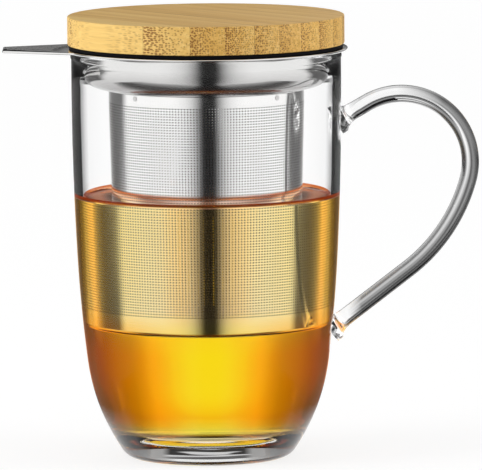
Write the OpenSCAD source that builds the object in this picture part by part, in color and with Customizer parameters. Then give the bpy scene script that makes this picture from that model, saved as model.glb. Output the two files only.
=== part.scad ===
// Glass tea mug with a drop-in steel infuser and a lift-off bamboo lid.
// Millimetres, +Z up, origin at the centre of the mug's foot, handle toward +X, infuser tab toward -X.

/* [Glass mug] */

// Outer diameter of the wall at the mouth
mug_d = 85; // [80:1:95]

// Height from the foot to the top of the rim
mug_h = 129; // [118:1:145]

// Wall thickness of the blown glass
wall_t = 2.8; // [2:0.1:3.4]

// Thickness of the glass floor at its centre
base_t = 8; // [5:0.5:12]

/* [Handle] */

// Diameter of the glass rod
rod_d = 5.5; // [4.5:0.5:8]

// Furthest reach of the rod's centre line from the wall
grip_reach = 40.6; // [36:1:48]

// Bend radius of the rod's centre line at the top
top_bend_r = 21.7; // [17:0.5:24]

/* [Infuser] */

// How far the flat flange on the rim reaches past the mug's wall
flange_over = 2.2; // [1.6:0.1:4]

// Distance from the mug's axis to the tip of the lifting tab
tab_reach = 64; // [56:1:72]

// Width of the tab at its tip
tab_tip_w = 15.8; // [12:0.2:20]

// Thickness of the pressed collar sheet
sheet_t = 0.7; // [0.5:0.1:1]

// Diameter of the perforated basket at the top
basket_d = 61.8; // [56:0.2:64]

// Distance that the basket narrows in diameter down to its foot
basket_taper = 3.6; // [0:0.2:6]

// Depth of the basket's foot below the rim
basket_depth = 87.3; // [70:0.5:95]

// Thickness of the basket sheet
mesh_t = 0.4; // [0.3:0.1:0.6]

/* [Lid] */

// How far the bamboo lid reaches past the mug's wall
lid_over = 1.15; // [0.6:0.05:1.8]

// Thickness of the bamboo lid above its seal
lid_t = 9; // [7:0.5:14]

// Height of the turned boss under the lid
boss_h = 7; // [5:0.5:8]

// Thickness of the silicone flange under the lid
seal_t = 1.1; // [0.8:0.1:1.6]

/* [Hidden] */

$fn = 96;

// strips glued side by side across the lid, one node each
lid_strips = 11;

// clearances between pieces that lift apart
seat_gap = 0.15;
bore_gap = 0.2;
bead_gap = 0.95;

// glass wall: outline from the rim down to the foot as a chain of arcs, radii in rim heights
mug_r = mug_d / 2;
bend_z = 0.922 * mug_h;
wall_bend = [8.105, 3.508, 0.515] * mug_h;
wall_turn = [0, 3, 7.2, 33.6];
foot_turn = 90;
floor_leave = 15;
rim_bead_r = 0.59 * wall_t;
rim_bead_c = [mug_r - wall_t / 2, mug_h - rim_bead_r];
rim_bead_dip = acos(wall_t / 2 / rim_bead_r);

// handle: straight stub, upper bend, longer sweep, straight leg
stub_rise = 29.8;
bend_end = -15.6;
leg_start = -52.6;
sweep_r = 53.6;
bend_c = [mug_r + grip_reach - top_bend_r, 0.722 * mug_h];
sweep_c = bend_c + (top_bend_r - sweep_r) * [cos(bend_end), sin(bend_end)];
stub_start = bend_c + top_bend_r * [cos(90 + stub_rise), sin(90 + stub_rise)];
leg_top = sweep_c + sweep_r * [cos(leg_start), sin(leg_start)];
weld_r = 0.78 * rod_d;
weld_l = 0.8 * rod_d;
stub_l = (stub_start[0] - mug_r + 2 * wall_t) / cos(stub_rise);
leg_l = (leg_top[0] - 0.8 * mug_r) / cos(90 + leg_start);
stub_wall_x = 0.995 * mug_r;
leg_wall_x = 0.935 * mug_r;
bead_extra = 0.06;

// infuser: levels from the rim up, and from the rim down
flange_z = mug_h + seat_gap;
flange_r = mug_r + flange_over;
bowl_r = mug_r - wall_t / 2 - rim_bead_r - bead_gap;
neck_r = basket_d / 2 - mesh_t;
bowl_ledge = 0.5;
bowl_bend = bowl_r - neck_r - bowl_ledge;
bowl_bend_c = [bowl_r - bowl_bend, flange_z - 4.45];
bowl_floor_z = bowl_bend_c[1] - bowl_bend;
flange_fillet = 0.8;
neck_l = 3.3;
basket_top_z = bowl_floor_z - 0.2;
taper_z = bowl_floor_z - neck_l;
basket_foot_z = mug_h - basket_depth;
foot_r = (basket_d - basket_taper) / 2;
foot_round = 1.4;
cup_h = 4.8;
cup_t = 0.5;
tab_root_x = 30;
tab_slope = 0.4;
tab_corner = 1.5;
weld_d = 1.6;
weld_h = 0.12;
weld_z = bowl_floor_z - 1.3;

// lid: levels from the steel flange up
seal_z = flange_z + sheet_t + seat_gap;
lid_z = seal_z + seal_t;
lid_r = mug_r + lid_over;
seal_r = lid_r - 0.4;
sleeve_t = 1.2;
bore_r = bowl_r - sheet_t;
boss_r = bore_r - bore_gap - 2.2;
lip_r = bore_r - bore_gap;
sleeve_l = boss_h - seal_t;
lip_h = 0.2 * sleeve_l;
lip_pitch = 0.36 * sleeve_l;
strip_w = 2 * lid_r / (lid_strips - 0.67);
first_seam = 0.43 * strip_w - lid_r;
grain_turn = 40;
edge_round = 0.4;

// points of an arc that starts at p; a and b are the heading's turn from straight down
function turn(p, r, a, b, n) =
  [for (i = [1 : n]) let (t = a + (b - a) * i / n) p + r * [cos(t) - cos(a), sin(a) - sin(t)]];

// points of a circle's arc about c
function arc(c, r, a, b, n) =
  [for (i = [0 : n]) let (t = a + (b - a) * i / n) c + r * [cos(t), sin(t)]];

function last(v) = v[len(v) - 1];

// arc that leaves p at heading a and lands flat at height z
function land(p, a, z, n) = turn(p, (p[1] - z) / (1 - sin(a)), a, foot_turn, n);

function wall_chain(inset, low_turn, low_n) =
  let (
    top = [mug_r - inset, bend_z],
    upper = turn(top, wall_bend[0] - inset, wall_turn[0], wall_turn[1], 4),
    middle = turn(last(upper), wall_bend[1] - inset, wall_turn[1], wall_turn[2], 4),
    lower = turn(last(middle), wall_bend[2] - inset, wall_turn[2], low_turn, low_n)
  ) concat([top], upper, middle, lower);

function mug_outside() =
  let (side = wall_chain(0, wall_turn[3], 10))
  concat(side, land(last(side), wall_turn[3], 0, 8));

function mug_inside() =
  let (side = wall_chain(wall_t, floor_leave, 4))
  concat(side, land(last(side), floor_leave, base_t, 14));

function backward(v) = [for (i = [len(v) - 1 : -1 : 0]) v[i]];

// Blown glass cup with a thick floor and a fire-polished bead round its rim.
module mug_body() {
  color([0.86, 0.92, 0.93, 0.35])
  rotate_extrude() polygon(concat(
    mug_outside(),
    [[0, 0], [0, base_t]],
    backward(mug_inside()),
    arc(rim_bead_c, rim_bead_r, 180 + rim_bead_dip, -rim_bead_dip, 16)
  ));
}

// The cup's outer shape filled solid, which trims whatever is fused to the wall.
module mug_filled() {
  rotate_extrude() polygon(concat([[0, 0], [0, mug_h], [mug_r, mug_h]], mug_outside()));
}

// Straight rod from the point at in the XZ plane, at an angle above +X.
module rod(at, angle, length) {
  translate([at[0], 0, at[1]]) rotate([0, 90 - angle, 0]) cylinder(h = length, d = rod_d);
}

// Bent rod about the point at in the XZ plane, between two angles above +X.
module bent_rod(at, r, from, to) {
  translate([at[0], 0, at[1]]) rotate([90, 0, 0]) rotate([0, 0, from])
    rotate_extrude(angle = to - from) translate([r, 0]) circle(d = rod_d);
}

// Bead hardly wider than the rod, where two of its bends run into each other.
module bead(at) {
  translate([at[0], 0, at[1]]) sphere(d = rod_d + bead_extra);
}

// Swell of glass where a rod that passes through the point at meets the wall at wall_x.
module weld_swell(at, angle, wall_x) {
  run = (at[0] - wall_x) / cos(angle);
  translate([at[0] - run * cos(angle), 0, at[1] - run * sin(angle)]) rotate([0, 90 - angle, 0]) {
    translate([0, 0, -weld_l]) cylinder(h = weld_l, r = weld_r);
    cylinder(h = weld_l, r1 = weld_r, r2 = 0.48 * rod_d);
  }
}

// Drawn glass rod, bent to an ear and fused to the wall at both ends.
module handle() {
  color([0.86, 0.92, 0.93, 0.35])
  difference() {
    union() {
      rod(stub_start, 180 + stub_rise, stub_l);
      bead(stub_start);
      bent_rod(bend_c, top_bend_r, bend_end, 90 + stub_rise);
      bead(bend_c + top_bend_r * [cos(bend_end), sin(bend_end)]);
      bent_rod(sweep_c, sweep_r, leg_start, bend_end);
      bead(leg_top);
      rod(leg_top, leg_start - 90, leg_l);
      weld_swell(stub_start, stub_rise, stub_wall_x);
      weld_swell(leg_top, 90 + leg_start, leg_wall_x);
    }
    mug_filled();
  }
}

// Section of the collar sheet: flat flange, bowl with a quarter-round floor, short neck.
function collar_section() =
  let (
    under = [bowl_r + flange_fillet, flange_z - flange_fillet],
    neck = [neck_r, bowl_floor_z]
  ) concat(
    [[flange_r, flange_z]],
    arc(under, flange_fillet, 90, 180, 5),
    arc(bowl_bend_c, bowl_bend, 0, -90, 12),
    [neck, [neck_r, taper_z], [neck_r - sheet_t, taper_z]],
    arc(neck, sheet_t, 180, 90, 4),
    arc(bowl_bend_c, bowl_bend - sheet_t, -90, 0, 12),
    arc(under, flange_fillet + sheet_t, 180, 90, 6),
    [[flange_r, flange_z + sheet_t]]
  );

// Tapering tongue with two rounded tip corners, pointing toward -X.
function tab_outline() =
  let (
    tip = [tab_corner - tab_reach, tab_tip_w / 2 - tab_corner],
    root_w = tab_tip_w / 2 + tab_slope * (tab_reach - tab_root_x)
  ) concat(
    [[-tab_root_x, -root_w], [-tab_root_x, root_w]],
    arc(tip, tab_corner, 90, 180, 5),
    arc([tip[0], -tip[1]], tab_corner, 180, 270, 5)
  );

// Pressed steel collar: flange with its lifting tab, bowl and neck, in one sheet.
module collar() {
  color([0.74, 0.75, 0.76]) {
    union() {
      rotate_extrude() polygon(collar_section());
      difference() {
        translate([0, 0, flange_z]) linear_extrude(sheet_t) polygon(tab_outline());
        translate([0, 0, flange_z - 1]) cylinder(h = sheet_t + 2, r = flange_r - 1);
      }
    }
  }
}

// Rolled basket sheet: a straight band over the collar's neck, then a slight taper.
module basket_wall() {
  color([0.78, 0.78, 0.77])
  rotate_extrude() polygon([
    [neck_r + mesh_t, basket_top_z],
    [neck_r + mesh_t, taper_z],
    [foot_r, basket_foot_z + foot_round],
    [foot_r - mesh_t, basket_foot_z + foot_round],
    [neck_r, taper_z],
    [neck_r, basket_top_z]
  ]);
}

// Radius of the basket sheet's inner face at a height.
function basket_in(z) =
  let (low = basket_foot_z + foot_round)
  foot_r - mesh_t + (neck_r - foot_r + mesh_t) * (z - low) / (taper_z - low);

// Shallow pressed cup welded inside the wall's lower edge, its floor closing the basket.
module basket_foot() {
  low = basket_foot_z + foot_round;
  edge = [basket_in(low) - foot_round, low];
  color([0.76, 0.76, 0.75])
  rotate_extrude() polygon(concat(
    [[0, basket_foot_z]],
    arc(edge, foot_round, 270, 360, 5),
    [[basket_in(low + cup_h), low + cup_h], [basket_in(low + cup_h) - cup_t, low + cup_h]],
    arc(edge, foot_round - cup_t, 360, 270, 4),
    [[0, basket_foot_z + cup_t]]
  ));
}

// Four flat weld spots that pin the basket sheet to the collar's neck.
module spot_welds() {
  color([0.62, 0.62, 0.62])
  for (i = [0 : 3])
    rotate([0, 0, 45 + 90 * i])
      intersection() {
        translate([neck_r, 0, weld_z]) rotate([0, 90, 0]) cylinder(h = 2 * mesh_t, d = weld_d);
        difference() {
          translate([0, 0, weld_z - weld_d]) cylinder(h = 2 * weld_d, r = neck_r + mesh_t + weld_h);
          translate([0, 0, weld_z - weld_d]) cylinder(h = 2 * weld_d, r = neck_r + mesh_t);
        }
      }
}

// Moulded silicone: flat flange under the bamboo, sleeve round the boss, two wiping lips.
module lid_seal() {
  sleeve_r = boss_r + sleeve_t;
  color([0.08, 0.08, 0.08])
  rotate_extrude() polygon(concat(
    [[boss_r, lid_z], [seal_r, lid_z], [seal_r, seal_z], [sleeve_r, seal_z]],
    [for (i = [0 : 1]) let (z = seal_z - lip_h - i * lip_pitch)
      each [[sleeve_r, z], [lip_r, z - lip_h / 6], [lip_r, z - lip_h * 0.6], [sleeve_r, z - lip_h]]],
    [[sleeve_r, lid_z - boss_h], [boss_r, lid_z - boss_h]]
  ));
}

// Turned bamboo disc glued under the lid, which centres it in the collar's bowl.
module lid_boss() {
  low = lid_z - boss_h;
  color([0.70, 0.54, 0.31])
  rotate_extrude() polygon([
    [0, low],
    [boss_r - edge_round, low],
    [boss_r, low + edge_round],
    [boss_r, lid_z],
    [0, lid_z]
  ]);
}

// Round lid plate with softened edges, before it is cut along the seams.
module lid_plate() {
  rotate_extrude() polygon(concat(
    [[0, lid_z]],
    arc([lid_r - edge_round, lid_z + edge_round], edge_round, -90, 0, 3),
    arc([lid_r - edge_round, lid_z + lid_t - edge_round], edge_round, 0, 90, 3),
    [[0, lid_z + lid_t]]
  ));
}

// One bamboo strip of the glued lid plate, between two seams.
module lid_strip(i) {
  low = i == 1 ? -lid_r - 1 : first_seam + (i - 2) * strip_w;
  high = i == lid_strips ? lid_r + 1 : first_seam + (i - 1) * strip_w;
  color(i % 2 == 0 ? [0.77, 0.61, 0.36] : [0.72, 0.56, 0.32])
  intersection() {
    lid_plate();
    rotate([0, 0, grain_turn]) translate([low, -2 * lid_r, lid_z - 1])
      cube([high - low, 4 * lid_r, lid_t + 2]);
  }
}

mug_body();
handle();
collar();
basket_wall();
basket_foot();
spot_welds();
lid_seal();
lid_boss();
for (i = [1 : lid_strips])
  lid_strip(i);
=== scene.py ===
import math

import bmesh
import bpy
from mathutils import Matrix, Vector


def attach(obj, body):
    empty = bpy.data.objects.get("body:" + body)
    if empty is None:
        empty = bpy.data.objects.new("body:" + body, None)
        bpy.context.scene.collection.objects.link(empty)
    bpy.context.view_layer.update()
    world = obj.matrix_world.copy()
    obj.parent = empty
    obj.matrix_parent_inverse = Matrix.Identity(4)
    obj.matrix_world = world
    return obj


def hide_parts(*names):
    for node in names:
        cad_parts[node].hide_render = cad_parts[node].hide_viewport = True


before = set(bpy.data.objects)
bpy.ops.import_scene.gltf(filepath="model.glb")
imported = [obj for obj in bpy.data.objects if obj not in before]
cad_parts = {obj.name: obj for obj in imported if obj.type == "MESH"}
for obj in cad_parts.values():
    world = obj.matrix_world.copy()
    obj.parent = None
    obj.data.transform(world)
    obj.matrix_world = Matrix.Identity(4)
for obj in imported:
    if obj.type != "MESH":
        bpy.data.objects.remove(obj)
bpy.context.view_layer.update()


# Glass mug: clear borosilicate, blown into a tall cup with a thick floor and a fire-polished
# bead round its rim. The handle is a drawn rod of the same glass, bent to an ear and fused on
# at both ends, so cup and handle are one piece of glass.

mm = 0.001
wall_r, rim_z, wall_t, floor_t = 42.5, 129.0, 2.8, 8.0
rod_r = 2.75


def turn(at, r, a, b, n):
    """Points of an arc from at; a and b are how far its heading is turned from straight down."""
    points = []
    for i in range(1, n + 1):
        t = a + (b - a) * i / n
        points.append(
            (
                at[0] + r * (math.cos(math.radians(t)) - math.cos(math.radians(a))),
                at[1] + r * (math.sin(math.radians(a)) - math.sin(math.radians(t))),
            )
        )
    return points


def arc(centre, r, a, b, n):
    """Points of a circle's arc about centre, both ends included."""
    turns = [math.radians(a + (b - a) * i / n) for i in range(n + 1)]
    return [(centre[0] + r * math.cos(t), centre[1] + r * math.sin(t)) for t in turns]


mouth_z = 0.922 * rim_z
# the side under the straight mouth: (radius in rim heights, turned from, turned to, steps)
side_arcs = ((8.105, 0, 3, 14), (3.508, 3, 7.2, 12))
belly_r, belly_turn, foot_turn, corner_turn = 0.515, 7.2, 33.6, 15


def wall_line(inset, low_turn):
    """The cup's side from the straight mouth down to the belly, inset from the outer face."""
    line = [(wall_r - inset, mouth_z)]
    for r, a, b, n in (*side_arcs, (belly_r, belly_turn, low_turn, 16)):
        line += turn(line[-1], r * rim_z - inset, a, b, n)
    return line


def landing(line, heading, z, n):
    """The line carried on in one arc that meets the level z flat."""
    at = line[-1]
    r = (at[1] - z) / (1 - math.sin(math.radians(heading)))
    return line + turn(at, r, heading, 90, n)


def lathe(name, line, steps=256, closed=False):
    """An object turned from a line of (radius, height) points in millimetres."""
    bm = bmesh.new()
    verts = [bm.verts.new((r * mm, 0, z * mm)) for r, z in line]
    edges = [bm.edges.new(pair) for pair in zip(verts, verts[1:])]
    if closed:
        edges.append(bm.edges.new((verts[-1], verts[0])))
    bmesh.ops.spin(
        bm, geom=verts + edges, cent=(0, 0, 0), axis=(0, 0, 1), dvec=(0, 0, 0),
        angle=2 * math.pi, steps=steps, use_merge=True, use_duplicate=False,
    )
    bmesh.ops.remove_doubles(bm, verts=bm.verts, dist=1e-7)
    return shown(name, bm)


def shown(name, bm, crease=35):
    """The bmesh as a smooth-shaded object, kept sharp where it folds past the crease angle."""
    bmesh.ops.recalc_face_normals(bm, faces=bm.faces)
    mesh = bpy.data.meshes.new(name)
    bm.to_mesh(mesh)
    bm.free()
    mesh.shade_smooth()
    mesh.set_sharp_from_angle(angle=math.radians(crease))
    piece = bpy.data.objects.new(name, mesh)
    bpy.context.scene.collection.objects.link(piece)
    return piece


def joined(piece, other, crease=35):
    """Fuses other into piece as one closed skin."""
    cut = piece.modifiers.new("fuse", "BOOLEAN")
    cut.operation, cut.solver, cut.object = "UNION", "EXACT", other
    whole = bpy.data.meshes.new_from_object(
        piece.evaluated_get(bpy.context.evaluated_depsgraph_get())
    )
    piece.modifiers.clear()
    piece.data = whole
    bpy.data.objects.remove(other)
    whole.shade_smooth()
    whole.set_sharp_from_angle(angle=math.radians(crease))
    return piece


class Tint:
    """One value in a finish's nodes. Sums and products of it add Math nodes."""

    def __init__(self, tree, out):
        self.tree, self.out = tree, out

    def node(self, kind, sockets, out=0, stops=None, **settings):
        n = self.tree.nodes.new(kind)
        for name, value in settings.items():
            setattr(n, name, value)
        if stops:
            marks = n.color_ramp.elements
            marks.remove(marks[1])
            marks[0].position, marks[0].color = stops[0][0], (*stops[0][1], 1)
            for at, colour in stops[1:]:
                marks.new(at).color = (*colour, 1)
        for key, value in sockets.items():
            if isinstance(value, Tint):
                self.tree.links.new(value.out, n.inputs[key])
            else:
                n.inputs[key].default_value = value
        return Tint(self.tree, n.outputs[out])

    def maths(self, operation, a, b=0.0):
        return self.node("ShaderNodeMath", {0: a, 1: b}, operation=operation)

    def __add__(self, o):
        return self.maths("ADD", self, o)

    __radd__ = __add__

    def __mul__(self, o):
        return self.maths("MULTIPLY", self, o)

    __rmul__ = __mul__

    def __sub__(self, o):
        return self.maths("SUBTRACT", self, o)

    def __rsub__(self, o):
        return self.maths("SUBTRACT", o, self)

    def __truediv__(self, o):
        return self.maths("DIVIDE", self, o)


def finish(name):
    """A new material and its Object coordinates, ready for nodes."""
    material = bpy.data.materials.new(name)
    material.use_nodes = True
    tree = material.node_tree
    tree.nodes.clear()
    coord = tree.nodes.new("ShaderNodeTexCoord")
    return material, Tint(tree, coord.outputs["Object"])


def axis(point, i):
    """One of a point's three coordinates."""
    return point.node("ShaderNodeSeparateXYZ", {0: point}, out=i)


def length(x, y):
    """How far a point lies from the middle, by two of its coordinates."""
    flat = x.node("ShaderNodeCombineXYZ", {0: x, 1: y})
    return x.node("ShaderNodeVectorMath", {0: flat}, out=1, operation="LENGTH")


def fade(value, a, b, low=0.0, high=1.0):
    """Runs from low to high while the value runs from a to b, and stays there beyond."""
    return value.node("ShaderNodeMapRange", {0: value, 1: a, 2: b, 3: low, 4: high})


def ramp(value, *stops):
    """A colour for each (place along the value, colour), blended in between."""
    return value.node("ShaderNodeValToRGB", {"Fac": value}, stops=stops)


def greys(value, *stops):
    """A ramp whose stops are (place, how light)."""
    return ramp(value, *((at, (light,) * 3) for at, light in stops))


def mixed(share, one, other):
    """The one colour where share is 0 and the other where it is 1."""
    return share.node("ShaderNodeMix", {0: share, 6: one, 7: other}, out=2, data_type="RGBA")


def coat(piece, material, surface, volume=None):
    """Closes the material with its surface and puts it on the piece."""
    tree = material.node_tree
    end = tree.nodes.new("ShaderNodeOutputMaterial")
    tree.links.new(surface.out, end.inputs["Surface"])
    if volume:
        tree.links.new(volume.out, end.inputs["Volume"])
    piece.data.materials.clear()
    piece.data.materials.append(material)


bead_r = 0.59 * wall_t
bead_c = (wall_r - wall_t / 2, rim_z - bead_r)
bead_dip = math.degrees(math.acos(wall_t / 2 / bead_r))
outside = landing(wall_line(0, foot_turn), foot_turn, 0, 20)
inside = landing(wall_line(wall_t, corner_turn), corner_turn, floor_t, 28)
# the foot is a little hollow, in soft rings: (radius, height)
underside = [
    (0, 1.7), (6, 1.6), (11, 1.3), (14.5, 0.95), (15.4, 0.95),
    (17, 1.1), (18.4, 0.9), (19.8, 0.45), (20.8, 0.1), (21.4, 0.01),
]
cup_line = (
    underside + outside[::-1] + arc(bead_c, bead_r, -bead_dip, 180 + bead_dip, 24)
    + inside + [(0, floor_t)]
)
glass_mug = lathe("glass_mug", cup_line)

# the handle's centre line: a stub off the cup, a tight bend, a long sweep and a straight leg
reach, bend_r, sweep_r = 40.6, 21.7, 53.6
bend_end, leg_start, stub_rise = -15.6, -52.6, 29.8
bend_c = (wall_r + reach - bend_r, 0.722 * rim_z)
stub_x, leg_x = 0.995 * wall_r, 0.935 * wall_r


def along(centre, r, a):
    """The point at that distance and angle from the centre."""
    return centre[0] + r * math.cos(math.radians(a)), centre[1] + r * math.sin(math.radians(a))


sweep_c = along(bend_c, bend_r - sweep_r, bend_end)
stub_start = along(bend_c, bend_r, 90 + stub_rise)
leg_top = along(sweep_c, sweep_r, leg_start)
# how the rod swells as it nears the wall: (distance from the wall, radius)
swell = [
    (-1.7, 4.75), (0.2, 4.6), (0.5, 4.2), (0.9, 3.8),
    (1.5, 3.4), (2.3, 3.08), (3.4, 2.86), (5, rod_r),
]


def swell_rings(at, angle, wall_x):
    """Centres and radii from inside the wall outward, for a rod through at with that slope."""
    run = (at[0] - wall_x) / math.cos(math.radians(angle))
    return [(along(at, d - run, angle), r) for d, r in swell]


def draw_on(bm, rim, centre, r, at, radius):
    """Draws the rod's open end on to a new centre and radius."""
    made = bmesh.ops.extrude_edge_only(bm, edges=rim)["geom"]
    verts = [g for g in made if isinstance(g, bmesh.types.BMVert)]
    old, new = (Vector((c[0] * mm, 0, c[1] * mm)) for c in (centre, at))
    bmesh.ops.translate(bm, verts=verts, vec=-old)
    bmesh.ops.scale(bm, verts=verts, vec=(radius / r,) * 3)
    bmesh.ops.translate(bm, verts=verts, vec=new)
    return [g for g in made if isinstance(g, bmesh.types.BMEdge)]


def bend_on(bm, rim, centre, angle, steps):
    """Carries the rod's open end round an arc in the handle's plane."""
    verts = list({v for e in rim for v in e.verts})
    made = bmesh.ops.spin(
        bm, geom=verts + list(rim), cent=(centre[0] * mm, 0, centre[1] * mm), axis=(0, 1, 0),
        dvec=(0, 0, 0), angle=math.radians(angle), steps=steps, use_duplicate=False,
    )["geom_last"]
    return [g for g in made if isinstance(g, bmesh.types.BMEdge)]


bm = bmesh.new()
rings = swell_rings(stub_start, stub_rise, stub_x)
(x, z), r = rings[0]
tilt = Matrix.Rotation(math.radians(90 - stub_rise), 4, "Y")
bmesh.ops.create_circle(
    bm, segments=40, radius=r * mm, matrix=Matrix.Translation((x * mm, 0, z * mm)) @ tilt,
)
rim = list(bm.edges)
for (at, radius), (before, r) in zip(rings[1:] + [(stub_start, rod_r)], rings):
    rim = draw_on(bm, rim, before, r, at, radius)
rim = bend_on(bm, rim, bend_c, 90 + stub_rise - bend_end, 64)
rim = bend_on(bm, rim, sweep_c, bend_end - leg_start, 32)
rings = [(leg_top, rod_r)] + swell_rings(leg_top, 90 + leg_start, leg_x)[::-1]
for (at, radius), (before, r) in zip(rings[1:], rings):
    rim = draw_on(bm, rim, before, r, at, radius)
bmesh.ops.holes_fill(bm, edges=bm.edges, sides=0)
joined(glass_mug, shown("rod", bm), 50)

clear_glass, spot = finish("clear_glass")
ripple = spot.node("ShaderNodeTexNoise", {"Vector": spot, "Scale": 60.0, "Detail": 1.0})
hand_blown = spot.node("ShaderNodeBump", {"Height": ripple, "Strength": 0.02, "Distance": 0.001})
x, z = axis(spot, 0), axis(spot, 2)


def off_rod(centre, r):
    """How far outside an arc of the handle's centre line a point lies, in millimetres."""
    return length(x / mm - centre[0], z / mm - centre[1]) - r


lean = (math.cos(math.radians(leg_start)), math.sin(math.radians(leg_start)))
lower = spot.maths("LESS_THAN", z, along(bend_c, bend_r, bend_end)[1] * mm)
down_leg = x * (lean[1] / mm) - z * (lean[0] / mm)
straight = spot.maths("GREATER_THAN", down_leg, leg_top[0] * lean[1] - leg_top[1] * lean[0])
off_leg = x * (lean[0] / mm) + z * (lean[1] / mm)
off_leg = off_leg - (leg_top[0] * lean[0] + leg_top[1] * lean[1])
off_bend, off_sweep = off_rod(bend_c, bend_r), off_rod(sweep_c, sweep_r)
off = spot.node("ShaderNodeMix", {0: lower, 2: off_bend, 3: off_sweep})
off = spot.node("ShaderNodeMix", {0: straight * lower, 2: off, 3: off_leg})

# painted refraction: light and dark stripes are painted along the rod, from its inner side (0) to
# its outer side (1), standing in for the stripes real glass bends light into
share = fade(off, -rod_r, rod_r)
bend_painted_stripes = greys(
    share, (0.02, 0.5), (0.08, 0.15), (0.15, 0.04), (0.20, 0.06), (0.26, 0.5), (0.31, 1),
    (0.46, 1), (0.50, 0.4), (0.53, 0.12), (0.58, 0.12), (0.63, 0.4), (0.72, 0.5), (0.80, 0.2),
    (0.87, 0.03), (0.93, 0.05), (0.98, 0.3),
)
level_painted_stripes = greys(
    share, (0.03, 0.3), (0.08, 0.05), (0.14, 0), (0.155, 1), (0.195, 1), (0.21, 0), (0.265, 0),
    (0.285, 1), (0.84, 1), (0.88, 0.35), (0.93, 0.6), (0.97, 0.3),
)
on_rod = fade(x, 0.0445, 0.0485)
bent_part = spot.node("ShaderNodeClamp", {"Value": lower + fade(x, 0.060, 0.074)})
painted_stripes = mixed(bent_part, level_painted_stripes, bend_painted_stripes)
painted_stripes = mixed(on_rod, (1, 1, 1, 1), painted_stripes)

# the thin wall darkens at its edges; the thick foot and the fused ends stay bright, and the fused
# ends carry a painted glow
thin_wall = fade(z, 0.010, 0.018, high=0.85) * fade(x, 0.0450, 0.0435)
fused = 0.0
for end, angle, wall_x in ((stub_start, stub_rise, wall_r), (leg_top, 90 + leg_start, leg_x)):
    at = swell_rings(end, angle, wall_x)[0][0]
    gap = spot.node(
        "ShaderNodeVectorMath", {0: spot, 1: (at[0] * mm, 0, at[1] * mm)},
        out=1, operation="DISTANCE",
    )
    thin_wall = thin_wall * fade(gap, 0.0060, 0.0085)
    fused = fused + fade(gap, 0.0065, 0.0040)
# painted glow: faint light swirls painted as emission into the fused ends, not folds in the glass
swirl_noise = spot.node(
    "ShaderNodeTexNoise", {"Vector": spot, "Scale": 420.0, "Detail": 2.0, "Distortion": 1.5},
)
painted_swirl_glow = fade(swirl_noise, 0.48, 0.60, high=0.38) * fused
painted_swirl_glow = spot.node("ShaderNodeCombineXYZ", {0: painted_swirl_glow, 1: painted_swirl_glow, 2: painted_swirl_glow})
thick_glass = spot.node("ShaderNodeBsdfPrincipled", {
    "Base Color": painted_stripes, "Roughness": 0.0, "IOR": 1.5, "Transmission Weight": 1.0,
    "Normal": hand_blown, "Emission Color": painted_swirl_glow, "Emission Strength": 1.0,
})
thin_glass = spot.node("ShaderNodeBsdfRefraction", {
    "Color": painted_stripes, "Roughness": 0.0, "IOR": 1.5, "Normal": hand_blown,
})
coat(
    glass_mug, clear_glass,
    spot.node("ShaderNodeMixShader", {0: thin_wall, 1: thick_glass, 2: thin_glass}),
    spot.node("ShaderNodeVolumeAbsorption", {"Color": (0.5, 0.52, 0.52, 1), "Density": 5.0}),
)
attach(glass_mug, "mug")
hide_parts("mug_body", "handle")


# Tea: what the mug holds, filled to a little over half its height, also inside the basket.
# Its skin lies a hair inside the glass so that light passes from glass straight into tea.

tea_z, skin, climb_h, climb_run = 83.0, 0.05, 1.3, 1.1
tea_line = landing(wall_line(wall_t - skin, corner_turn), corner_turn, floor_t - skin, 28)
tea_side = [(r, z) for r, z in tea_line if z < tea_z + 1.25]
# the tea climbs the glass a little: distances in from the wall
backs = (7, 5, 4, 3, 2.2, 1.6, 1.1, 0.7, 0.35, 0)
climb = [
    (tea_side[0][0] - back, tea_z + climb_h * math.exp(-back / climb_run)) for back in backs
]
tea = lathe("tea", [(0, tea_z)] + climb + tea_side + [(0, floor_t - skin)])

brewed_tea, spot = finish("brewed_tea")
x, y, z = (axis(spot, i) for i in range(3))
radial = spot.node("ShaderNodeCombineXYZ", {0: x, 1: y})
radial = spot.node("ShaderNodeVectorMath", {0: radial}, operation="NORMALIZE")
edge_on = spot.node("ShaderNodeLayerWeight", {"Blend": 0.5, "Normal": radial}, out=1)

# the skin's colour, the tea's own amber painted in bands of shade by how edge-on the skin is seen:
# amber low down, nearly clear beside the basket, brick red where it climbs
amber = ramp(
    edge_on, (0.005, (1, 0.99, 0.50)), (0.015, (1, 0.91, 0.40)), (0.03, (1, 0.80, 0.29)),
    (0.05, (1, 0.70, 0.20)), (0.13, (1, 0.64, 0.12)), (0.3, (1, 0.62, 0.10)),
)
flank = ramp(
    edge_on, (0.003, (1, 0.90, 0.90)), (0.010, (1, 0.87, 0.80)), (0.035, (1, 0.95, 0.98)),
    (0.13, (1, 0.94, 0.95)), (0.155, (1, 0.88, 0.85)), (0.175, (1, 0.80, 0.60)),
    (0.21, (1, 0.74, 0.42)), (0.245, (0.75, 0.54, 0.36)),
)
below = fade(z, 0.049, 0.036)
above_floor = fade(z, 0.009, 0.014)
ring = fade(z, (tea_z + 0.02) * mm, (tea_z + 0.4) * mm)
painted_tint = mixed(below, flank, amber)
painted_tint = mixed(above_floor, (1, 1, 1, 1), painted_tint)
painted_tint = mixed(ring, painted_tint, (0.42, 0.13, 0.03, 1))

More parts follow.
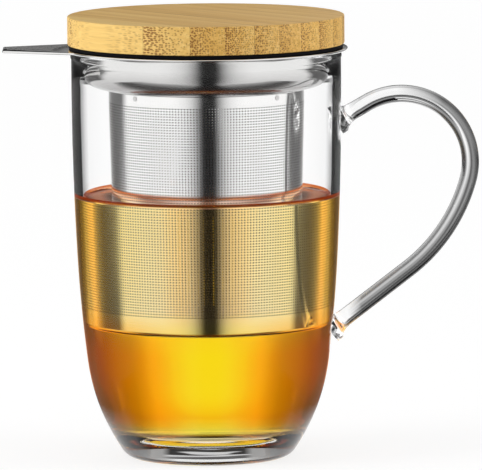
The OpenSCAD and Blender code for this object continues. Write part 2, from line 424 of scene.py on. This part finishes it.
# faint painted glow, given as emission rather than by light scattered in the tea: at its open
# surface, at the ring and along its sides
surface = spot.maths("GREATER_THAN", z, (tea_z - 0.02) * mm)
near_wall = fade(length(x, y), 0.029, 0.034)
glow = mixed(near_wall, (0.02, 0.01, 0.005, 1), (0.24, 0.115, 0.07, 1))
rim_glow = mixed(fade(edge_on, 0.0, 0.16), (0.02, 0.009, 0.003, 1), (0.13, 0.02, 0.003, 1))
glow = mixed(ring, glow, rim_glow)
low_painted_glow = ramp(
    edge_on, (0.06, (0, 0, 0)), (0.12, (0.05, 0.002, 0)), (0.17, (0.09, 0.004, 0)),
    (0.23, (0.07, 0.002, 0)), (0.26, (0, 0, 0)),
)
high_painted_glow = ramp(
    edge_on, (0.195, (0, 0, 0)), (0.213, (0.2, 0.05, 0)), (0.232, (0.2, 0.05, 0)),
    (0.243, (0, 0, 0)),
)
side_painted_glow = mixed(below, high_painted_glow, low_painted_glow)
side_painted_glow = mixed(fade(z, 0.016, 0.028), (0, 0, 0, 1), side_painted_glow)
side = spot.node("ShaderNodeAddShader", {
    0: spot.node("ShaderNodeBsdfRefraction", {"Color": painted_tint, "Roughness": 0.0, "IOR": 1.333}),
    1: spot.node("ShaderNodeEmission", {"Color": side_painted_glow, "Strength": 1.0}),
})
top = spot.node("ShaderNodeBsdfPrincipled", {
    "Base Color": painted_tint, "Roughness": 0.0, "IOR": 1.18, "Transmission Weight": 1.0,
    "Emission Color": glow, "Emission Strength": 1.0,
})
coat(
    tea, brewed_tea, spot.node("ShaderNodeMixShader", {0: surface, 1: side, 2: top}),
    spot.node("ShaderNodeVolumeAbsorption", {"Color": (0.995, 0.925, 0.25, 1), "Density": 60.0}),
)
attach(tea, "mug")


# Collar: one sheet of stainless steel, pressed into a flat flange that rests on the rim, a
# bowl with a quarter-round floor and a short neck. The lifting tab is cut out with the flange.

sheet_t, flange_r, flange_z = 0.7, 44.7, 129.15
bowl_r, bowl_wall_h, neck_r, neck_h = 38.498, 4.45, 30.5, 3.3
fold_r, neck_soften, ledge = 0.8, 0.15, 0.5
bowl_bend = bowl_r - neck_r - ledge
bowl_c = (bowl_r - bowl_bend, flange_z - bowl_wall_h)
bowl_floor_z = bowl_c[1] - bowl_bend
neck_end_z = bowl_floor_z - neck_h
under = (bowl_r + fold_r, flange_z - fold_r)
edge = sheet_t / 2
collar_line = (
    arc((flange_r - edge, flange_z + edge), edge, 90, -90, 6)
    + arc(under, fold_r, 90, 180, 8) + arc(bowl_c, bowl_bend, 0, -90, 24)
    + [(neck_r + neck_soften, bowl_floor_z), (neck_r, bowl_floor_z - neck_soften)]
    + [(neck_r, neck_end_z), (neck_r - sheet_t, neck_end_z)]
    + arc((neck_r, bowl_floor_z), sheet_t, 180, 90, 6)
    + arc(bowl_c, bowl_bend - sheet_t, -90, 0, 24)
    + arc(under, fold_r + sheet_t, 180, 90, 10)
)
collar = lathe("collar_shell", collar_line, closed=True)

# the tab widens toward its root, which lies hidden in the flange; its tip's corners are round
tip_x, root_x, tab_half, tab_flare, corner = -64, -40, 7.9, 0.4, 1.5
inset, tab_soften = 0.002, 0.12
root_half = tab_half + tab_flare * (root_x - tip_x)
tip = (corner + tip_x, tab_half - corner)
tab_edge = (
    [(root_x, -root_half), (root_x, root_half)]
    + arc(tip, corner, 90, 180, 6) + arc((tip[0], -tip[1]), corner, 180, 270, 6)
)
bm = bmesh.new()
face = bm.faces.new([bm.verts.new((x * mm, y * mm, (flange_z + inset) * mm)) for x, y in tab_edge])
lifted = bmesh.ops.extrude_face_region(bm, geom=[face])["geom"]
bmesh.ops.translate(
    bm, verts=[g for g in lifted if isinstance(g, bmesh.types.BMVert)],
    vec=(0, 0, (sheet_t - 2 * inset) * mm),
)
bmesh.ops.recalc_face_normals(bm, faces=bm.faces)
bmesh.ops.bevel(
    bm, geom=[e for e in bm.edges if abs(e.verts[0].co.z - e.verts[1].co.z) < 1e-6],
    offset=tab_soften * mm, affect="EDGES", segments=2, profile=0.5, material=-1,
)
joined(collar, shown("tab", bm))


def grain(spot, stretch, scale, detail):
    """Fine noise drawn out level, as rolling and pressing leave it."""
    lay = spot.node("ShaderNodeMapping", {"Vector": spot, "Scale": (1, 1, stretch)})
    return spot.node("ShaderNodeTexNoise", {"Vector": lay, "Scale": scale, "Detail": detail})


pressed_steel, spot = finish("pressed_steel")
steel_grain = grain(spot, 30, 120.0, 4.0)
height = axis(spot, 2)
# painted reflection: the bowl's lower bend and floor are painted a darker steel, a dark reflection
# painted into the colour
painted_dark_bend = fade(height, 0.1262, 0.1195) * spot.maths("GREATER_THAN", height, 0.1165)
satin = spot.node("ShaderNodeBsdfPrincipled", {
    "Base Color": mixed(painted_dark_bend, (0.83, 0.825, 0.815, 1), (0.46, 0.455, 0.45, 1)),
    "Metallic": 1.0, "Roughness": 0.09 + 0.05 * steel_grain,
    "Normal": spot.node(
        "ShaderNodeBump", {"Height": steel_grain, "Strength": 0.03, "Distance": 0.0002},
    ),
})
coat(collar, pressed_steel, satin)
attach(collar, "infuser")
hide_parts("collar")


# Basket wall: thin stainless sheet, etched with thousands of fine holes in straight rows,
# rolled to a slightly tapering tube and slipped over the collar's neck. Made as four quarters.

mesh_t, foot_z, foot_r = 0.4, 41.7, 29.1
low_z, top_z = foot_z + 1.4, bowl_floor_z - 0.2
hole_r, hole_squash, hole_taper = 0.245, 0.92, 0.4
hole_rows, hole_cols, first_hole_z, last_hole_z = 78, 51, 113.7, 47.7
cone = neck_r + mesh_t - foot_r


def sheet_r(z):
    """Outer radius of the rolled sheet at a height."""
    share = min(1, (z - low_z) / (neck_end_z - low_z))
    return foot_r + cone * share


# one cell, a square with an eight-sided hole, is repeated into a flat quarter of the sheet
pitch = (first_hole_z - last_hole_z) / hole_rows
flat = bmesh.new()
flats_up = Matrix.Rotation(math.radians(22.5), 4, "Z")
bmesh.ops.create_circle(flat, segments=8, radius=hole_r * mm, matrix=flats_up)
bmesh.ops.scale(flat, verts=flat.verts, vec=(1, hole_squash, 1))
bmesh.ops.create_grid(flat, x_segments=1, y_segments=1, size=pitch / 2 * mm)
bmesh.ops.delete(flat, geom=flat.faces[:], context="FACES_ONLY")
bmesh.ops.bridge_loops(flat, edges=flat.edges[:])
for count, step in ((hole_rows, (0, pitch * mm, 0)), (hole_cols, (pitch * mm, 0, 0))):
    one = flat.verts[:] + flat.edges[:] + flat.faces[:]
    for i in range(1, count):
        more = bmesh.ops.duplicate(flat, geom=one)["geom"]
        verts = [g for g in more if isinstance(g, bmesh.types.BMVert)]
        bmesh.ops.translate(flat, verts=verts, vec=[i * c for c in step])
to_place = (pitch / 2 * mm, (last_hole_z + pitch / 2) * mm, 0)
bmesh.ops.translate(flat, verts=flat.verts, vec=to_place)
for band in ([last_hole_z, (low_z + last_hole_z) / 2, low_z], [first_hole_z, neck_end_z, top_z]):
    rim = [e for e in flat.edges if all(abs(v.co.y - band[0] * mm) < 1e-6 for v in e.verts)]
    for z in band[1:]:
        made = bmesh.ops.extrude_edge_only(flat, edges=rim)["geom"]
        for v in (g for g in made if isinstance(g, bmesh.types.BMVert)):
            v.co.y = z * mm
        rim = [g for g in made if isinstance(g, bmesh.types.BMEdge)]
bmesh.ops.remove_doubles(flat, verts=flat.verts, dist=2e-6)

perforated_steel, spot = finish("perforated_steel")
steel_grain = grain(spot, 20, 150.0, 3.0)
x, y, z = (axis(spot, i) for i in range(3))
taper = (z - low_z * mm) * (cone / (neck_end_z - low_z))
taper = spot.maths("MINIMUM", taper, cone * mm)
# painted shade: the inner side and the narrowing hole walls are painted dark brown-grey so that the
# holes read as dark dots; they are also made rougher
dull_and_painted_shade = spot.maths("LESS_THAN", length(x, y), (foot_r - 0.03) * mm + taper)
sheet_finish = spot.node("ShaderNodeBsdfPrincipled", {
    "Base Color": mixed(dull_and_painted_shade, (0.97, 0.965, 0.955, 1), (0.16, 0.14, 0.115, 1)),
    "Metallic": 1.0, "Roughness": 0.08 + 0.05 * steel_grain + 0.3 * dull_and_painted_shade,
})
for quarter in range(4):
    bm = flat.copy()
    for v in bm.verts:
        z = v.co.y / mm
        t = math.radians(45 + 90 * (quarter + v.co.x / (pitch * mm) / hole_cols))
        v.co = (sheet_r(z) * math.cos(t) * mm, sheet_r(z) * math.sin(t) * mm, z * mm)
    bmesh.ops.recalc_face_normals(bm, faces=bm.faces)
    if bm.faces[:][0].normal.dot(bm.faces[:][0].calc_center_median()) < 0:
        bmesh.ops.reverse_faces(bm, faces=bm.faces)
    bmesh.ops.solidify(bm, geom=bm.faces[:], thickness=mesh_t * mm)
    for v in bm.verts:  # the holes narrow inward, as etching from outside leaves them
        z, r = v.co.z / mm, math.hypot(v.co.x, v.co.y) / mm
        if r < sheet_r(z) - mesh_t / 2 and last_hole_z < z < first_hole_z:
            t = (math.degrees(math.atan2(v.co.y, v.co.x)) % 360 - 45 - 90 * quarter) % 360
            column, row = t / 90 * hole_cols, (z - last_hole_z) / pitch
            off = column % 1 - 0.5, row % 1 - 0.5
            if math.hypot(*off) < 0.4:
                z -= off[1] * hole_taper * pitch
                t = math.radians(t - off[0] * hole_taper * 90 / hole_cols + 45 + 90 * quarter)
                v.co = (r * math.cos(t) * mm, r * math.sin(t) * mm, z * mm)
    part = shown(f"basket_wall_{quarter + 1}", bm)
    coat(part, perforated_steel, sheet_finish)
    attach(part, "infuser")
    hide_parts("basket_wall")


# Basket foot: a shallow cup pressed from the same steel, pushed up inside the lower edge of
# the wall and spot welded there, which closes the basket.

foot_t, foot_bend, foot_top = 0.5, 1.4, low_z + 4.8


def sheet_in(z):
    """Inner radius of the rolled sheet at a height."""
    return sheet_r(z) - mesh_t


foot_edge = (sheet_in(low_z) - foot_bend, low_z)
foot_line = (
    [(0, foot_z)] + arc(foot_edge, foot_bend, 270, 360, 8)
    + [(sheet_in(foot_top), foot_top), (sheet_in(foot_top) - foot_t, foot_top)]
    + arc(foot_edge, foot_bend - foot_t, 360, 270, 8) + [(0, foot_z + foot_t)]
)
basket_foot = lathe("basket_foot_cup", foot_line)
basket_foot.data.materials.clear()
basket_foot.data.materials.append(pressed_steel)
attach(basket_foot, "infuser")
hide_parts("basket_foot")


# Spot welds: four small fused buttons that hold the wall to the collar's neck. The model's own
# solids stay, in a duller steel where the heat has marked them.

weld_steel, spot = finish("weld_steel")
coat(
    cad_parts["spot_welds"], weld_steel,
    spot.node("ShaderNodeBsdfPrincipled", {
        "Base Color": (0.72, 0.71, 0.70, 1), "Metallic": 1.0,
        "Roughness": 0.25 + 0.2 * spot.node("ShaderNodeTexNoise", {"Vector": spot, "Scale": 900.0}),
    }),
)


# Lid: eleven bamboo strips glued side by side, turned to a round plate with softened edges.
# The culm's fibres run along each strip, as streaks on its faces and dots on its end grain.

lid_r, lid_z, lid_t, strips, soften = 43.65, 131.1, 9.0, 11, 0.4
# turning the plate leaves only part of the outer strips
grain_turn, turned_off, first_left = 40, 0.67, 0.43
strip_w = 2 * lid_r / (strips - turned_off)
first_seam = first_left * strip_w - lid_r
across = Vector((math.cos(math.radians(grain_turn)), math.sin(math.radians(grain_turn)), 0))

bamboo, spot = finish("bamboo")
lay = spot.node(
    "ShaderNodeMapping", {"Vector": spot, "Rotation": (0, 0, math.radians(-grain_turn))},
    vector_type="POINT",
)
axes = [axis(lay, i) for i in range(3)]
ply = (axes[0] / mm - first_seam) / strip_w
strip_no = ply.maths("FLOOR", ply)
into = ply.maths("FRACT", ply)
own = spot.node("ShaderNodeTexWhiteNoise", {"W": strip_no}, noise_dimensions="1D")
facing = spot.node("ShaderNodeNewGeometry", {}, out=1)
along_grain = (-across.y, across.x, 0)
end_grain = spot.node(
    "ShaderNodeVectorMath", {0: facing, 1: along_grain}, out=1, operation="DOT_PRODUCT",
)
end_grain = spot.maths("ABSOLUTE", end_grain)

# the end grain's dots are the culm's bundles of fibres, closer together toward its skin
fibre = spot.node("ShaderNodeCombineXYZ", {
    0: axes[0] * 1700, 1: axes[1] * 34 + strip_no * 7.3, 2: axes[2] * 1550,
})
bundles = spot.node("ShaderNodeTexVoronoi", {"Vector": fibre, "Scale": 1.0, "Randomness": 0.65})
broad = spot.node("ShaderNodeTexNoise", {"Vector": fibre, "Scale": 0.16, "Detail": 2.0})
pores = ramp(
    bundles + 0.16 * (into - 0.35) + 0.14 * (0.5 - broad), (0.30, (1, 1, 1)), (0.50, (0, 0, 0)),
)
flow = spot.node("ShaderNodeCombineXYZ", {
    0: axes[0] * 1100, 1: axes[1] * 16 + strip_no * 3.1, 2: axes[2] * 1100,
})
streaks = spot.node(
    "ShaderNodeTexNoise", {"Vector": flow, "Scale": 1.0, "Detail": 6.0, "Roughness": 0.6},
)
ground = ramp(
    streaks + 0.10 * (own - 0.5) + 0.12 * (into - 0.5),
    (0.30, (0.61, 0.33, 0.064)), (0.50, (0.765, 0.45, 0.106)), (0.72, (0.89, 0.60, 0.20)),
)
# painted light: the strips at the lid's left edge are painted lighter and yellower, as if the light
# from the left falls on them
ground = mixed(fade(ply, 0.2, 1.5, 0.45, 0.0), ground, (0.95, 0.69, 0.25, 1))
dots = pores * (0.95 - 0.5 * into) * fade(end_grain, 0.05, 0.42, low=0.1)
bamboo_colour = mixed(dots, ground, (0.24, 0.088, 0.016, 1))
seam = spot.node("ShaderNodeMath", {0: into, 1: 0.0, 2: 0.01}, operation="COMPARE")
bamboo_colour = mixed(0.35 * seam, bamboo_colour, (0.25, 0.12, 0.035, 1))
relief = spot.node(
    "ShaderNodeBump", {"Height": streaks - 0.5 * pores, "Strength": 0.3, "Distance": 0.0002},
)
bamboo_face = spot.node("ShaderNodeBsdfPrincipled", {
    "Base Color": bamboo_colour, "Roughness": 0.42 + 0.15 * streaks, "Specular IOR Level": 0.4,
    "Normal": relief,
})

plate_line = (
    [(0, lid_z)] + arc((lid_r - soften, lid_z + soften), soften, -90, 0, 4)
    + arc((lid_r - soften, lid_z + lid_t - soften), soften, 0, 90, 4) + [(0, lid_z + lid_t)]
)
plate = lathe("plate", plate_line, steps=240)
for i in range(strips):
    bm = bmesh.new()
    bm.from_mesh(plate.data)
    for at, side in ((first_seam + (i - 1) * strip_w, -1), (first_seam + i * strip_w, 1)):
        if abs(at) < lid_r:
            cut = bmesh.ops.bisect_plane(
                bm, geom=bm.verts[:] + bm.edges[:] + bm.faces[:], dist=1e-7,
                plane_co=across * at * mm, plane_no=across * side, clear_outer=True,
            )["geom_cut"]
            rim = [g for g in cut if isinstance(g, bmesh.types.BMEdge)]
            bmesh.ops.holes_fill(bm, edges=rim, sides=0)
    strip = shown(f"bamboo_strip_{i + 1}", bm)
    coat(strip, bamboo, bamboo_face)
    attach(strip, "lid")
    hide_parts(f"lid_strip_{i + 1}")
bpy.data.objects.remove(plate)


# Boss: a turned bamboo disc glued under the plate, which centres the lid in the collar's bowl
# and carries the seal round its edge.

boss_r, boss_h, chamfer = 35.398, 7.0, 0.4
boss_z = lid_z - boss_h
boss_line = [
    (0, boss_z), (boss_r - chamfer, boss_z), (boss_r, boss_z + chamfer),
    (boss_r, lid_z), (0, lid_z),
]
boss = lathe("bamboo_boss", boss_line)
boss.data.materials.clear()
boss.data.materials.append(bamboo)
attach(boss, "lid")
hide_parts("lid_boss")


# Seal: black silicone, moulded as a flat flange under the bamboo and a sleeve round the boss
# with two thin lips that wipe the steel bowl.

seal_t, seal_r, sleeve_r, lip_r = 1.1, lid_r - 0.4, boss_r + 1.2, 37.598
seal_round, sleeve_round, lip_round = 0.3, 0.2, 0.1
seal_z = lid_z - seal_t
lip_h, lip_pitch = 0.2 * (boss_h - seal_t), 0.36 * (boss_h - seal_t)
seal_line = (
    [(boss_r, lid_z)]
    + arc((seal_r - seal_round, lid_z - seal_round), seal_round, 90, 0, 3)
    + arc((seal_r - seal_round, seal_z + seal_round), seal_round, 0, -90, 3)
    + [(sleeve_r + sleeve_round, seal_z), (sleeve_r, seal_z - sleeve_round)]
)
for i in range(2):
    z = seal_z - lip_h - i * lip_pitch
    seal_line += [
        (sleeve_r, z), (lip_r - lip_round, z - lip_h / 6), (lip_r, z - lip_h * 0.35),
        (lip_r - lip_round, z - lip_h * 0.6), (sleeve_r, z - lip_h),
    ]
seal_line += [(sleeve_r, boss_z), (boss_r, boss_z)]
seal = lathe("silicone_seal", seal_line, closed=True)
black_silicone, spot = finish("black_silicone")
dust = spot.node("ShaderNodeTexNoise", {"Vector": spot, "Scale": 400.0, "Detail": 5.0})
bloom = spot.node("ShaderNodeBump", {"Height": dust, "Strength": 0.08, "Distance": 0.0001})
coat(
    seal, black_silicone,
    spot.node("ShaderNodeBsdfPrincipled", {
        "Base Color": (0.004, 0.004, 0.005, 1), "Roughness": 0.5 + 0.2 * dust,
        "Specular IOR Level": 0.06, "Normal": bloom,
    }),
)
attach(seal, "lid")
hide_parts("lid_seal")


# Camera: a long lens 2.6 m away and a little above the rim, rolled by less than half a degree.
# It looks at the middle of mug and handle together.

camera_data = bpy.data.cameras.new("camera")
camera_data.sensor_width, camera_data.lens = 36, 619
camera_data.clip_start, camera_data.clip_end = 0.1, 50
camera = bpy.data.objects.new("camera", camera_data)
bpy.context.scene.collection.objects.link(camera)
camera.location = (0.0106, -2.6, 0.365)
aim = Vector((0.0106, 0, 0.0703)) - camera.location
roll = Matrix.Rotation(math.radians(-0.42), 3, "Z").to_quaternion()
camera.rotation_mode = "QUATERNION"
camera.rotation_quaternion = aim.to_track_quat("-Z", "Y") @ roll
bpy.context.scene.camera = camera


# Studio: a pale floor, a white backdrop that falls off to grey at its sides, a front card with a
# soft dark stripe, a low grey card, a striped and a black card high up behind, and two side lamps.
# Backdrop and cards hang on the camera, so they keep their places in any view.

world = bpy.data.worlds.new("studio")
bpy.context.scene.world = world
world.use_nodes = True
tree = world.node_tree
tree.nodes.clear()
# the room is white to look at, in reflections and through glass, but dimmer as a source of light
kinds = tree.nodes.new("ShaderNodeLightPath").outputs
rays, glossy, passed = (
    Tint(tree, kinds[f"Is {kind} Ray"]) for kind in ("Camera", "Glossy", "Transmission")
)
seen = rays.node("ShaderNodeClamp", {"Value": rays + glossy + passed})
lit = rays.node("ShaderNodeBackground", {"Color": (1, 1, 1, 1), "Strength": 0.48})
white = rays.node("ShaderNodeBackground", {"Color": (1, 1, 1, 1), "Strength": 1.0})
both = rays.node("ShaderNodeMixShader", {0: seen, 1: lit, 2: white})
tree.links.new(both.out, tree.nodes.new("ShaderNodeOutputWorld").inputs["Surface"])

bm = bmesh.new()
bmesh.ops.create_grid(bm, x_segments=1, y_segments=1, size=6)
floor = shown("floor", bm)
floor_white, spot = finish("floor_white")
away = spot.node("ShaderNodeVectorMath", {0: spot}, out=1, operation="LENGTH")
far = fade(away, 0.3, 2.5, 0.8, 0.88)
tree = floor_white.node_tree
rays = Tint(tree, tree.nodes.new("ShaderNodeLightPath").outputs["Is Camera Ray"])
paper = spot.node("ShaderNodeBsdfDiffuse", {"Color": (0.95, 0.95, 0.95, 1)})
shine = spot.node("ShaderNodeEmission", {"Color": (1, 1, 1, 1), "Strength": 0.35 + rays * far})
coat(floor, floor_white, spot.node("ShaderNodeMixShader", {0: 0.7, 1: paper, 2: shine}))
floor.visible_glossy = floor.visible_transmission = False

mug_away, backdrop_r = 2.617, 5


def hang(bm, name):
    """Hangs a card on the camera, seen only in reflections and through the glass."""
    made = shown(name, bm)
    made.parent = camera
    made.visible_camera = made.visible_diffuse = made.visible_shadow = False
    return made


def lit_card(spot, colour):
    """A card's own even light, of that colour."""
    return spot.node("ShaderNodeEmission", {"Color": colour, "Strength": 1.0})


bm = bmesh.new()
centre = (0, 0, -mug_away)
ends = [bm.verts.new((0, y, -mug_away - backdrop_r)) for y in (-4, 4)]
bm.edges.new(ends)
to_side = Matrix.Rotation(math.radians(75), 3, "Y")
bmesh.ops.rotate(bm, verts=ends, cent=centre, matrix=to_side)
bmesh.ops.spin(
    bm, geom=bm.verts[:] + bm.edges[:], cent=centre, axis=(0, 1, 0), dvec=(0, 0, 0),
    angle=math.radians(-150), steps=60, use_duplicate=False,
)
backdrop = hang(bm, "backdrop")
backdrop_paper, spot = finish("backdrop_paper")
x, y, z = (axis(spot, i) for i in range(3))
side = spot.maths("ARCTAN2", x, -1.0 * z - mug_away) * (180 / math.pi)
span = 80
falls_off = greys(
    spot.maths("ABSOLUTE", side) / span, (13 / span, 1), (17 / span, 0.72), (20 / span, 0.55),
    (25 / span, 0.42), (32 / span, 0.26), (40 / span, 0.16), (64 / span, 0.13), (74 / span, 0.9),
)
falls_off = mixed(fade(y, -0.3, -0.7), falls_off, (1, 1, 1, 1))
coat(backdrop, backdrop_paper, lit_card(spot, falls_off))

# each card's light is painted across it: the stripe, the fading ends and the stripes high up
stripe_x = 0.04
dark_card, spot = finish("dark_card")
off = spot.maths("ABSOLUTE", axis(spot, 0) - stripe_x)
card_front = lit_card(spot, greys(
    off / 2, (0.05, 0.02), (0.075, 0.10), (0.11, 0.33), (0.175, 0.64), (0.25, 0.84), (0.37, 0.96),
    (0.5, 1),
))
low_card, spot = finish("low_card")
back = fade(axis(spot, 2), -1.5, -3.3)
off = spot.maths("ABSOLUTE", axis(spot, 0) - stripe_x)
dimmed = greys(
    back, (0.0, 0.75), (0.2, 0.5), (0.37, 0.3), (0.5, 0.12), (0.7, 0.12), (0.84, 0.4), (1.0, 1),
)
card_low = lit_card(spot, mixed(fade(off, 0.12, 0.3), (0.03, 0.03, 0.03, 1), dimmed))
black_card, spot = finish("black_card")
card_black = lit_card(spot, (0.012, 0.012, 0.013, 1))
grey_card, spot = finish("grey_card")
off = spot.maths("ABSOLUTE", axis(spot, 0))
high_z, high_low_y, high_top_y = -3.567, 0.14, 0.38
stripes = greys(
    fade(axis(spot, 1), high_low_y, high_top_y), (0.0, 0.13), (0.06, 0.15), (0.085, 0.75),
    (0.14, 0.75), (0.165, 0.05), (0.3, 0.025), (0.5, 0.2), (1.0, 0.3),
)
card_grey = lit_card(spot, mixed(fade(off, 0.27, 0.35), stripes, (0.42, 0.42, 0.42, 1)))
upright = Matrix.Rotation(math.radians(90), 3, "X")
for name, corner_a, corner_b, card, face in (
    ("card_front", (-1.8, -1.0, -1.6), (1.8, 0.8, -1.6), dark_card, card_front),
    ("card_low", (-2.5, -1.0, -1.5), (2.5, -1.0, -3.3), low_card, card_low),
    ("card_high", (-0.5, high_low_y, high_z), (0.5, high_top_y, high_z), grey_card, card_grey),
    ("card_top", (-0.5, high_top_y, high_z), (0.03, 0.8, high_z), black_card, card_black),
):
    bm = bmesh.new()
    bmesh.ops.create_grid(bm, x_segments=1, y_segments=1, size=0.5)
    if corner_a[1] == corner_b[1]:
        bmesh.ops.rotate(bm, verts=bm.verts, cent=(0, 0, 0), matrix=upright)
    size = [abs(q - p) or 1 for p, q in zip(corner_a, corner_b)]
    bmesh.ops.scale(bm, verts=bm.verts, vec=size)
    middle = [(p + q) / 2 for p, q in zip(corner_a, corner_b)]
    bmesh.ops.translate(bm, verts=bm.verts, vec=middle)
    coat(hang(bm, name), card, face)

for name, at, power in (
    ("lamp_left", (-1.62, -0.62, 0.3), 29), ("lamp_right", (1.65, -0.5, 0.3), 18),
):
    lamp_data = bpy.data.lights.new(name, "AREA")
    lamp_data.shape, lamp_data.energy = "RECTANGLE", power
    lamp_data.size, lamp_data.size_y = 1.0, 1.0
    lamp = bpy.data.objects.new(name, lamp_data)
    bpy.context.scene.collection.objects.link(lamp)
    lamp.location = at
    lamp.rotation_mode = "QUATERNION"
    lamp.rotation_quaternion = (Vector((0, 0, 0.1)) - lamp.location).to_track_quat("-Z", "Y")
    lamp.visible_glossy = lamp.visible_transmission = False

bpy.context.scene.view_settings.view_transform = "Standard"
